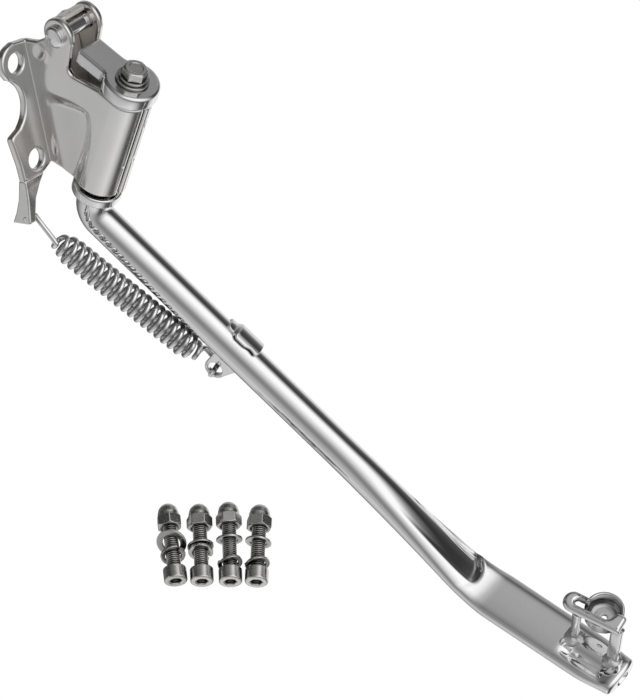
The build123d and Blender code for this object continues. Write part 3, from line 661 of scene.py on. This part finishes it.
def split_ring(place, outer, inner, thickness, rise, start):
    """Spring washer: a flat ring cut open with its ends sprung apart."""
    section = rounded([(inner, -thickness / 2, 0.35), (outer, -thickness / 2, 0.35),
                       (outer, thickness / 2, 0.35), (inner, thickness / 2, 0.35)], 1.0)
    steps, n = 72, len(section)
    gap = radians(14)
    verts = []
    for k in range(steps + 1):
        t = start + gap / 2 + (TAU - gap) * k / steps
        z = rise * (k / steps - 0.5)
        verts += [place(p.x * cos(t), p.x * sin(t), p.y + z) for p in section]
    return verts, ring_faces(steps + 1, n) + end_caps(steps + 1, n)


def washer(place, outer, inner, half):
    profile = [(inner, -half, 0.25), (outer, -half, 0.45), (outer, half, 0.45), (inner, half, 0.25)]
    return lathe(rounded(profile, 0.5), place, 72)


def hex_limit(flat, turn):
    """Radius function that trims a turned profile to a hexagon with blunted corners."""
    side = pi / 3
    corner = flat / cos(side / 2) - 0.125

    def shape(r, t):
        a = (t - turn) % side - side / 2
        return min(r, flat / cos(a), corner)
    return shape


low, high = span("arm_flat_washer", AXIS, PIVOT)
piece("arm_washer_ring", [washer(BARREL.at(0, 0, (low + high) / 2), 9.6, 4.2, (high - low) / 2)],
      SATIN, "leg", "arm_flat_washer")
low, high = span("arm_lock_washer", AXIS, PIVOT)
piece("arm_spring_washer",
      [split_ring(BARREL.at(0, 0, (low + high) / 2), 8.0, 4.2, 1.9, 0.5, radians(200))],
      SATIN, "leg", "arm_lock_washer")
low, high = high, span("arm_hex_screw", AXIS, PIVOT)[1]
corner = HEX_FLATS / sqrt(3)
piece("arm_screw_hex",
      [lathe(rounded([(0, low, 0), (6.1, low, 0.1), (6.3, low + 0.3, 0.2), (corner, low + 0.3, 0.1),
                      (corner, high - 1.0, 0.3), (5.9, high, 0.4), (4.2, high, 0.2), (3.8, high - 0.25, 0.2),
                      (0, high - 0.25, 0)], 0.35, False),
             BARREL, 180, hex_limit(HEX_FLATS / 2, radians(44)), False),
       lathe(rounded([(0, low, 0), (4.0, low, 0), (4.0, low - 22, 0.8), (0, low - 22, 0)], 2.0, False),
             BARREL, 48, None, False)],
      SATIN, "leg", "arm_hex_screw")


# --- leg ---
TOP_AT = span("leg_collar", AXIS, PIVOT)[0]
KNEE_R = 14.0
knee_turn = (-AXIS).angle(DOWN)
SETBACK = KNEE_R * tan(knee_turn / 2)
HINGE = (-AXIS).cross(DOWN).normalized()


def leg_frame(station):
    """Point, direction and width direction of the leg's centre line, from the collar to the foot."""
    arc = KNEE_R * knee_turn
    into = KNEE + AXIS * SETBACK
    width = Vector((0, 1, 0))
    if station < SETBACK:
        before = station - (SETBACK - arc)
        turn = 0 if before < 0 else min(knee_turn, before / KNEE_R)
        back = knee_turn - turn
        inward = (HINGE.cross(-AXIS)).normalized()
        centre = into + inward * KNEE_R
        rot = centre - into
        point = centre - (rot * cos(turn) + HINGE.cross(rot) * sin(turn))
        tangent = -AXIS * cos(turn) + HINGE.cross(-AXIS) * sin(turn)
        if before < 0:
            point = into - AXIS * before
            tangent = -AXIS
        width = (width * cos(back) - HINGE.cross(width) * sin(back)
                 + HINGE * HINGE.dot(width) * (1 - cos(back)))
        return point, tangent, width
    if station <= ANKLE_AT - BEND:
        return KNEE + DOWN * station, DOWN, width
    if station >= ANKLE_AT + BEND:
        return ANKLE + Vector((1, 0, 0)) * (station - ANKLE_AT), Vector((1, 0, 0)), width
    t = (station - ANKLE_AT + BEND) / (2 * BEND)
    p0, p2 = ANKLE - DOWN * BEND, ANKLE + Vector((BEND, 0, 0))
    point = p0 * (1 - t) ** 2 + ANKLE * 2 * t * (1 - t) + p2 * t * t
    return point, ((ANKLE - p0) * (1 - t) + (p2 - ANKLE) * t).normalized(), width


def press(station, y, top):
    """How far the top wall is pressed in: a face that tips towards +Y and ends in a curved crease."""
    if not top:
        return 0.0
    foot = station - ANKLE_AT
    crease = 2.0 - 0.045 * (y + 1.0) ** 2
    tilt = 0.31 * max(0.0, y + 6.5) * ease((y + 6.5) / 4.0) + 0.5
    dish = tilt * ease((station - 205) / 78) * ease((crease - foot) / 6.0)
    lip = PADDLE_LENGTH - foot
    channel = 1.5 * ease((foot - 60) / 9) * ease((lip - 8) / 4.5) * ease((6.5 - abs(y + 5.0)) / 4.5)
    return dish + channel


def leg_outline(station, t, wall, squeeze=0.0):
    """Offset across and above the leg's centre line, round the section."""
    share = min(1.0, max(0.0, (station - ROUND_TO) / (ANKLE_AT + BEND - ROUND_TO)))
    swell = ease(share)
    hw = TUBE_R + (PADDLE_W - TUBE_R) * share ** 2
    hh = TUBE_R + (PADDLE_T - TUBE_R) * swell
    y, z = superellipse(t, 2 + 0.9 * swell)
    left = ANKLE_AT + PADDLE_LENGTH - station
    taper = 1 - 0.16 * ease((24 - left) / 24)
    bead = ease((8.5 - left) / 4.0) if z > 0 else 0.0
    hw, hh = hw * taper - wall - squeeze, hh + bead - wall
    across = hw * y
    depth = press(station, across, z > 0) * ease(abs(z) / 0.55)
    return across, hh * z - depth


def leg_mesh():
    """Outside of the leg to its lip, in through the small mouth, and back along the bore."""
    sides, lip, throat, bore = 128, 2.6, 7.0, 2.4
    end = ANKLE_AT + PADDLE_LENGTH
    start = SETBACK - KNEE_R * knee_turn - (TOP_AT - (KNEE + AXIS * SETBACK - PIVOT).dot(AXIS)) - 0.5
    rows, s = [], start
    while s < end - lip:
        rows.append((s, 0.0, 0.0))
        s += 2.2 if s < 215 else 1.3
    for k in range(9):
        t = pi / 2 * k / 8
        rows.append((end - lip + lip * sin(t), 1.9 * (1 - cos(t)), throat * (1 - cos(t)) * 0.8))
    for k in range(1, 7):
        rows.append((end - 0.35 * k, 1.9 + 0.1 * k, throat * (0.8 + 0.2 * k / 6)))
    rows += [(end - 4.5, 2.45, throat), (end - 8, bore, throat * 0.5), (end - 12, bore, 0.0)]
    s = end - 16
    while s > start:
        rows.append((s, bore, 0.0))
        s -= 4.0
    rows.append((start, bore, 0.0))
    verts = []
    for s, wall, squeeze in rows:
        point, tangent, width = leg_frame(s)
        up = tangent.cross(width)
        for k in range(sides):
            y, z = leg_outline(s, TAU * (k + 0.5) / sides, wall, squeeze)
            verts.append(point + width * y + up * z)
    return verts, ring_faces(len(rows), sides, closed=True)


piece("leg_tube_formed", [leg_mesh()], CHROME, "leg", "leg_tube")


def around_tube(station, angle):
    out = Vector((0, cos(radians(angle)), 0)) + LEG_TOP * sin(radians(angle))
    return Place(KNEE + DOWN * station, out, DOWN)


SADDLE = around_tube(104.0, 30.0)


def saddle_at(x, y, z):
    """x round the tube in millimetres at its surface, y along the leg, z outwards."""
    r = TUBE_R + 0.9 + z + 1.7 * ease((y + 1.5) / 3.0)
    t = x / TUBE_R
    return SADDLE(r * cos(t), r * sin(t), y)


piece("bumper_saddle_pressing",
      [sheet([rounded([(-8.6, -5.4, 2.2), (8.2, -5.4, 2.2), (8.8, 0, 3), (10.4, 2.0, 2), (10.4, 8.5, 6),
                       (9.2, 12, 4), (10.2, 17.4, 1.8), (-10.4, 17.4, 1.8), (-10.4, 10.5, 3), (-8.6, 7, 4),
                       (-10.4, 3.0, 3), (-9.0, -0.5, 3)], 0.8)], 0.85, 0.6, 0.9, saddle_at)],
      CHROME, "leg", "bumper_saddle")

LUG_STATION, LUG_REACH, LUG_EYE_R, LUG_HOLE_R = 113.0, 21, 6.4, 4.2
lug = around_tube(LUG_STATION, 250.0)
lug_plane = Place(lug.o, lug.x, lug.x.cross(DOWN))
lug_eye = arc3((LUG_REACH, -LUG_EYE_R), (LUG_REACH + LUG_EYE_R, 0), (LUG_REACH, LUG_EYE_R), 20)
lug_outline = rounded([(9.2, -8.0, 1.5)] + lug_eye + [(9.2, 9.5, 1.5)], 0.8)
piece("spring_lug_plate",
      [sheet([lug_outline, circle(LUG_REACH, 0, LUG_HOLE_R, 32)], 1.8, 0.9, 1.1, lug_plane)],
      CHROME, "leg", "spring_lug")

# --- foot loop ---
bar_low, bar_high = corners("foot_loop_bar")
bar_mid = (bar_low + bar_high) / 2
bar = Place(bar_mid, Vector((cos(radians(8)), sin(radians(8)), 0)), Vector((0, 0, 1)))
bar_outline = rounded([(18.5, -6.2, 1.8), (18.5, 5.4, 2.4), (12.0, 5.4, 2.4), (9.4, -1.2, 3.0),
                       (-11.5, -1.2, 1.5), (-11.5, 2.0, 1.5), (-4.5, 2.0, 1.0), (-4.5, 6.2, 1.4),
                       (-18.5, 6.2, 6.0), (-18.5, -6.2, 6.0)], 0.6)
piece("foot_loop_flat_bar", [sheet([bar_outline], 2.4, 2.3, 0.8, bar, 9)],
      LOOP_CHROME, "leg", "foot_loop_bar")

cup_low, cup_high = corners("foot_loop_cup")
cup = Place(Vector(((cup_low.x + cup_high.x) / 2, (cup_low.y + cup_high.y) / 2, cup_high.z)),
            Vector((1, 0, 0)), Vector((0, 0, 1)))
piece("foot_loop_dished_cup",
      [lathe(rounded([(1.6, -11, 0.5), (11.2, -11, 5.0), (11.2, 0, 0.8), (9.4, 0, 0.8), (9.2, -9.2, 3.6),
                      (1.6, -9.2, 0.5)], 0.5), cup)],
      CUP_CHROME, "leg", "foot_loop_cup")


def strut(foot, top, sizes, power):
    """Bar between two points whose section swells at both ends."""
    steps, n = 24, 40
    path = [foot.lerp(top, k / steps) for k in range(steps + 1)]
    along = (top - foot).normalized()
    x = (Vector((1, 0, 0)) - along * along.x).normalized()
    y = along.cross(x)
    verts = []
    for k, p in enumerate(path):
        flare = 1 + 0.05 * (1 - ease(k / 4)) + 0.05 * (1 - ease((steps - k) / 4))
        for j in range(n):
            a, b = superellipse(TAU * j / n, power)
            verts.append(p + x * (sizes[0] * flare * a) + y * (sizes[1] * flare * b))
    return verts, ring_faces(steps + 1, n) + end_caps(steps + 1, n)


FOOT_TOP = SOLE + 2 * PADDLE_T
inner_foot = Vector((ANKLE.x + 64.5, ANKLE.y + 3.6, FOOT_TOP - 1.0))
inner_top = Vector((inner_foot.x - 0.5, ANKLE.y + 5.4, bar_low.z + 0.6))
piece("foot_loop_round_post", [strut(inner_foot, inner_top, (2.6, 2.5), 2.2)],
      LOOP_CHROME, "leg", "foot_loop_inner_post")
outer_foot = Vector((ANKLE.x + 89.5, ANKLE.y + 4.4, FOOT_TOP - 1.0))
outer_top = Vector((outer_foot.x - 2.0, ANKLE.y + 11.0, bar_low.z + 0.8))
piece("foot_loop_flat_post", [strut(outer_foot, outer_top, (3.7, 1.7), 4)],
      LOOP_CHROME, "leg", "foot_loop_outer_post")


def weld_blob(centre, radius, height, seed):
    """Rippled weld bead round a post's foot."""
    verts, rings, n = [], 20, 72
    for i in range(rings + 1):
        q = i / rings
        for k in range(n):
            t = TAU * k / n
            wobble = 1 + 0.06 * sin(3 * t + seed) + 0.04 * sin(5 * t + 2 * seed)
            r = radius * wobble * q
            z = height * (1 - q ** 2.6) ** 0.7 - 0.9 * q
            p = Vector((r * cos(t), r * sin(t), z))
            lump = 0.3 * noise.fractal((p + Vector((seed * 9, 0, 0))) * 0.5, 1.0, 2.0, 2) * sin(pi * q)
            verts.append(centre + p + Vector((0, 0, lump)))
    underside = tuple(rings * n + k for k in range(n - 1, -1, -1))
    return verts, ring_faces(rings + 1, n) + [underside]


piece("foot_loop_weld_beads",
      [weld_blob(inner_foot + Vector((0, 0, 0.8)), 6.4, 3.0, 1.0),
       weld_blob(outer_foot + Vector((0, 0, 0.8)), 6.0, 2.7, 2.3)],
      WELD, "leg", "foot_loop_welds")

# --- return spring ---
HOLE = mm(JOINTS["spring_turn"]["pos_m"])
LUG_HOLE = lug(LUG_REACH, 0, 0)
WIRE_R = 1.5
COILS = 21
COIL_R = 6.9


def hook(tip, heading, hole, axis, towards, offset, tail, leads):
    """Wire from a coil's end, past the plate at a distance, then square through its hole."""
    back = (towards - axis * towards.dot(axis)).normalized()
    beside = hole + axis * offset
    points = [tip, tip + heading * 1.2]
    points += [beside + back * lead for lead in (*leads, 0.6)]
    points += [hole + axis * (offset * 0.66), hole, hole - axis * (tail * 0.7), hole - axis * tail]
    return smooth(points)


def spring_path():
    """Upper hook, coils that taper at both ends, and lower hook."""
    along = (LUG_HOLE - HOLE).normalized()
    length = (LUG_HOLE - HOLE).length
    across = along.cross(AXIS).normalized()
    third = along.cross(across)
    coil_start, coil_stop = 21.0, length - 15.0
    path = []
    steps = COILS * 32
    for k in range(steps + 1):
        q = k / steps
        r = COIL_R - 3.2 * (1 - ease(q * COILS / 2.2)) - 2.4 * (1 - ease((1 - q) * COILS / 1.8))
        t = TAU * COILS * q
        path.append(HOLE + along * (coil_start + (coil_stop - coil_start) * q)
                    + across * (r * cos(t)) + third * (r * sin(t)))
    lug_axis = DOWN.cross((LUG_HOLE - KNEE - DOWN * LUG_STATION).normalized()).normalized()
    into, out = (path[0] - path[1]).normalized(), (path[-1] - path[-2]).normalized()
    upper = hook(path[0], into, HOLE, SIDE, along, 4.9, 2.9, (3.0,))
    lower = hook(path[-1], out, LUG_HOLE, lug_axis, -along, 3.9, 7.2, (13, 8, 4))
    return list(reversed(upper)) + path[1:-1] + lower


piece("return_spring_wire", [wire(spring_path(), WIRE_R, 18)], SPRING_CHROME, "spring", "return_spring")


# --- loose mounting hardware ---
ACROSS = Vector((0.803, 0.596, 0)).normalized()


def set_centres(node, count=4, pitch=16.0):
    points = node_points(node)
    along = points @ np.array(ACROSS)
    middle = (along.min() + along.max()) / 2
    index = np.clip(np.round((along - middle) / pitch + (count - 1) / 2), 0, count - 1)
    out = []
    for k in range(count):
        group = points[index == k]
        out.append(Vector((group.min(0) + group.max(0)) / 2))
    return out


FLAT_AT = 2.8       # flat washer's middle in the CAD, up from the middle of its set
HEAD_AT = 18.5      # underside of the screw's head
NUT_AT = -7.0       # open face of the nut
flats, locks = set_centres("mounting_flat_washers"), set_centres("mounting_lock_washers")
SETS = []
for flat_mid, lock_mid in zip(flats, locks):
    heading = (lock_mid - flat_mid).normalized()
    SETS.append(Place(flat_mid - heading * FLAT_AT, ACROSS - heading * heading.dot(ACROSS), heading))


def thread(place, low_z, high_z, major=4.0, minor=3.2, pitch=1.25, sides=40):
    """Rod with a cut thread along a place's z axis; its low end runs out to the core."""
    rows_per_turn = 9
    rows = int((high_z - low_z) / pitch * rows_per_turn)
    verts = []
    for i in range(rows + 1):
        z = low_z + (high_z - low_z) * i / rows
        fade = ease((z - low_z) / 1.2)
        for k in range(sides):
            f = (z / pitch - k / sides) % 1.0
            crest = min(1.0, max(0.0, (1 - abs(2 * f - 1)) * 1.5 - 0.2))
            r = minor + (major - minor) * crest * fade
            verts.append(place(r * cos(TAU * k / sides), r * sin(TAU * k / sides), z))
    return verts, ring_faces(rows + 1, sides) + end_caps(rows + 1, sides)[:1]


def socket_head(place, z):
    """Cap screw head with a hexagon socket."""
    n, tall, socket = 144, 8.0, 3.0
    head = rounded([(3.4, z, 0), (6.3, z, 0.3), (6.5, z + 0.5, 0.4), (6.5, z + tall, 0.9),
                    (3.75, z + tall, 0.3)], 0.45, False)
    verts, faces = lathe(head, place, n, None, False)
    base = len(verts) - n
    rows = [(tall, 1.0), (7.6, 0.45), (7.0, 0.0), (5.0, 0.0), (3.2, 0.0)]
    loops = [list(range(base, base + n))]
    for height, soft in rows:
        ring = []
        for k in range(n):
            t = TAU * k / n
            a = (t % (pi / 3)) - pi / 6
            r = min(socket / cos(a), 3.42) + soft * 0.3
            ring.append(len(verts))
            verts.append(place(r * cos(t), r * sin(t), z + height - (0.15 if height == tall else 0)))
        loops.append(ring)
    for a, b in zip(loops, loops[1:]):
        faces += [(a[k], a[(k + 1) % n], b[(k + 1) % n], b[k]) for k in range(n)]
    middle = len(verts)
    verts.append(place(0, 0, z + 2.2))
    faces += [(loops[-1][k], loops[-1][(k + 1) % n], middle) for k in range(n)]
    return verts, faces


def acorn(place, z, turn):
    """Domed cap nut; its open face looks along +z."""
    corner = 7.3
    flat = corner * cos(pi / 6)
    profile = rounded([(4.0, z - 1.2, 0), (4.1, z - 0.6, 0.2), (5.2, z, 0.2), (6.1, z, 0.4),
                       (corner, z - 0.9, 0.3), (corner, z - 5.7, 0.3), (6.3, z - 6.5, 0.3),
                       (5.9, z - 6.6, 0.3), (5.9, z - 8.6, 2.5), (5.2, z - 11.4, 3.0),
                       (3.2, z - 13.8, 3.0), (0, z - 14.6, 0)], 0.4, False)
    return lathe(profile, place, 180, hex_limit(flat, turn), False)


def tilted(lie, at, yaw, lean):
    """Place up a set's screw, leaning across it (yaw) and away from the floor (lean)."""
    z = (lie.z + lie.x * yaw + lie.y * lean).normalized()
    return Place(lie(0, 0, at), lie.x - z * z.dot(lie.x), z)


# How each set lies. Nut: place and turn. Flat washer: place, yaw, lean, radius and bore.
# Spring washer: place, yaw, lean and where its gap starts.
LYING = (
    ((NUT_AT, 30), (FLAT_AT - 0.6, -0.35, 0.62, 8.4, 5.0), (10.0, 0.12, 0.3, 60)),
    ((NUT_AT, 8), (FLAT_AT + 1.4, 0.05, 0.06, 7.3, 4.5), (7.6, -0.1, 0.18, 320)),
    ((NUT_AT - 1.4, 0), (FLAT_AT - 3.0, 0.02, -0.12, 7.3, 4.5), (14.6, 0.22, 0.2, 150)),
    ((NUT_AT, 18), (FLAT_AT - 1.6, -0.1, -0.05, 7.3, 4.5), (14.8, 0.2, 0.16, 170)),
)
screws, nuts, springs, discs = [], [], [], []
for lie, (nut, flat, lock) in zip(SETS, LYING):
    screws += [thread(lie, HEAD_AT - 30.0, HEAD_AT), socket_head(lie, HEAD_AT)]
    nuts.append(acorn(lie, nut[0], radians(nut[1])))
    discs.append(washer(tilted(lie, *flat[:3]), *flat[3:], 0.7))
    springs.append(split_ring(tilted(lie, *lock[:3]), 6.9, 4.5, 1.7, 1.2, radians(lock[3])))
piece("kit_cap_screws", screws, SATIN, "bracket", "mounting_cap_screws")
piece("kit_acorn_nuts", nuts, SATIN, "bracket", "mounting_acorn_nuts")
piece("kit_spring_washers", springs, SATIN, "bracket", "mounting_lock_washers")
piece("kit_flat_washers", discs, SATIN, "bracket", "mounting_flat_washers")

# --- CAD nodes that are shown as they are ---
for node, material in (("barrel_sleeve", PLAIN), ("lower_bush", BRONZE), ("upper_bush", BRONZE),
                       ("leg_spindle", PLAIN)):
    data = frame["nodes"][node].data
    data.materials.clear()
    data.materials.append(material)

# --- floor, studio and camera ---
FLOOR_SIZE, FLOOR_STEPS = 12.0, 24
FLOOR_Z = PIVOT.z * 0.001 - 0.32        # clear of the foot when the leg is swung right down
floor_mesh = bpy.data.meshes.new("studio_floor")
points, quads = [], []
for j in range(FLOOR_STEPS + 1):
    for i in range(FLOOR_STEPS + 1):
        points.append((FLOOR_SIZE * (i / FLOOR_STEPS - 0.5), FLOOR_SIZE * (j / FLOOR_STEPS - 0.5), FLOOR_Z))
for j in range(FLOOR_STEPS):
    for i in range(FLOOR_STEPS):
        a, b = j * (FLOOR_STEPS + 1) + i, (j + 1) * (FLOOR_STEPS + 1) + i
        quads.append((a, a + 1, b + 1, b))
floor_mesh.from_pydata(points, [], quads)
floor_obj = bpy.data.objects.new("studio_floor", floor_mesh)
bpy.context.scene.collection.objects.link(floor_obj)
floor_mat = bpy.data.materials.new("studio_floor")
floor_mat.use_nodes = True
floor_look = floor_mat.node_tree.nodes["Principled BSDF"]
for key, value in (("Base Color", (0.85, 0.85, 0.85, 1)), ("Roughness", 0.9),
                   ("Emission Color", (1, 1, 1, 1)), ("Emission Strength", 0.2)):
    floor_look.inputs[key].default_value = value
floor_mesh.materials.append(floor_mat)
floor_obj.visible_glossy = False
floor_obj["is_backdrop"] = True


def studio():
    """Soft studio: white for the camera; reflections see bands of light and shade along the leg."""
    world = bpy.data.worlds.new("studio")
    bpy.context.scene.world = world
    node = wiring(world)[0]
    coord = node("ShaderNodeTexCoord").outputs["Generated"]

    def dot(axis):
        return node("ShaderNodeVectorMath", operation="DOT_PRODUCT", in_0=coord, in_1=axis).outputs["Value"]

    def turn(y, x):
        return node("ShaderNodeMath", operation="ARCTAN2", in_0=dot(y), in_1=dot(x)).outputs[0]

    def ramp(value, low, high, stops):
        spread = node("ShaderNodeMapRange", in_Value=value, in_From_Min=low, in_From_Max=high)
        n = node("ShaderNodeValToRGB", in_0=spread.outputs[0])
        elements = n.color_ramp.elements
        for i, (where, shade) in enumerate(stops):
            place = (where - stops[0][0]) / (stops[-1][0] - stops[0][0])
            last = i == len(stops) - 1
            stop = elements[0] if i == 0 else elements[-1] if last else elements.new(place)
            stop.color = (shade, shade, shade, 1)
        return n.outputs[0]

    def mixed(kind, factor, a, b):
        return node("ShaderNodeMix", data_type="RGBA", blend_type=kind, in_Factor=factor,
                    in_A=a, in_B=b).outputs["Result"]

    # Bands by angle round the leg, then by direction along it; another set from below. Stops run
    # from -180 to 180 degrees or from -100 to 100 per cent, each with its brightness.
    round_leg = ramp(turn((0, 1, 0), tuple(LEG_TOP)), -pi, pi,
                     [(-180, 0.47), (-140, 0.47), (-97, 0.45), (-86, 0.42), (-78, 0.36), (-68, 0.27),
                      (-57, 0.22), (-46, 0.27), (-33, 0.45), (-20, 0.68), (-8, 0.86), (5, 1.04), (34, 1.02),
                      (44, 0.86), (50, 0.55), (57, 0.2), (62, 0.22), (70, 0.32), (95, 0.37), (108, 0.42),
                      (124, 0.6), (150, 0.74), (168, 0.62), (180, 0.47)])
    ends = ramp(dot(tuple(DOWN)), -1, 1,
                [(-100, 0.1), (-80, 0.16), (-66, 0.3), (-52, 0.5), (-40, 0.85), (-28, 1.0), (38, 1.0),
                 (55, 0.8), (72, 0.7), (85, 0.45), (100, 0.2)])
    below = ramp(turn((0, 1, 0), (1, 0, 0)), -pi, pi,
                 [(-180, 0.12), (-155, 0.17), (-132, 0.4), (-112, 0.56), (-80, 0.66), (-50, 0.8), (-36, 0.55),
                  (-22, 0.12), (-6, 0.04), (6, 0.08), (14, 0.6), (30, 0.9), (60, 0.95), (100, 0.75),
                  (130, 0.5), (160, 0.22), (180, 0.12)])
    under = ramp(dot((0, 0, 1)), -1, 1, [(-100, 1), (-50, 1), (-18, 0), (100, 0)])
    spot = ramp(dot((0.472, 0.856, 0.214)), -1, 1, [(-100, 1), (78, 1), (88, 0.6), (94, 0.28), (100, 0.16)])
    near = ramp(dot((0, 1, 0)), -1, 1, [(-100, 1), (-62, 1), (-28, 0), (100, 0)])
    bands = mixed("MULTIPLY", 1.0, mixed("MULTIPLY", 1.0, round_leg, mixed("LIGHTEN", 1.0, ends, near)), spot)
    seen = mixed("MIX", under, bands, below)
    shade = node("ShaderNodeBackground", in_Color=seen)
    plain = node("ShaderNodeBackground", in_Color=(1, 1, 1, 1))
    glossy = node("ShaderNodeLightPath").outputs["Is Glossy Ray"]
    mix = node("ShaderNodeMixShader", in_0=glossy, in_1=plain.outputs[0], in_2=shade.outputs[0])
    node("ShaderNodeOutputWorld", in_Surface=mix.outputs[0])


studio()
scene = bpy.context.scene
scene.view_settings.view_transform = "Standard"
scene.view_settings.look = "None"

# The camera stands far off with a long lens, so that the view is nearly flat.
DISTANCE, FIELD = 12.0, 0.3825          # FIELD scales the lens to the part's width in the picture
azimuth, elevation, roll = radians(34.05), radians(61.3), radians(2.87)
back = Vector((sin(azimuth) * cos(elevation), -cos(azimuth) * cos(elevation), sin(elevation)))
middle = (cad_low + cad_high) / 2
aim = middle + Vector((-0.0011, 0.0329, -0.0075))
cam_data = bpy.data.cameras.new("camera")
cam = bpy.data.objects.new("camera", cam_data)
scene.collection.objects.link(cam)
cam_data.lens = 36.0 * DISTANCE / FIELD
cam_data.clip_end = 60
cam.location = aim + back * DISTANCE
cam.rotation_mode = "QUATERNION"
cam.rotation_quaternion = (-back).to_track_quat("-Z", "Y") @ Quaternion((0, 0, 1), roll)
scene.camera = cam

low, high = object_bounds()
{"cad": [list(cad_low), list(cad_high)], "visual": [list(low), list(high)]}
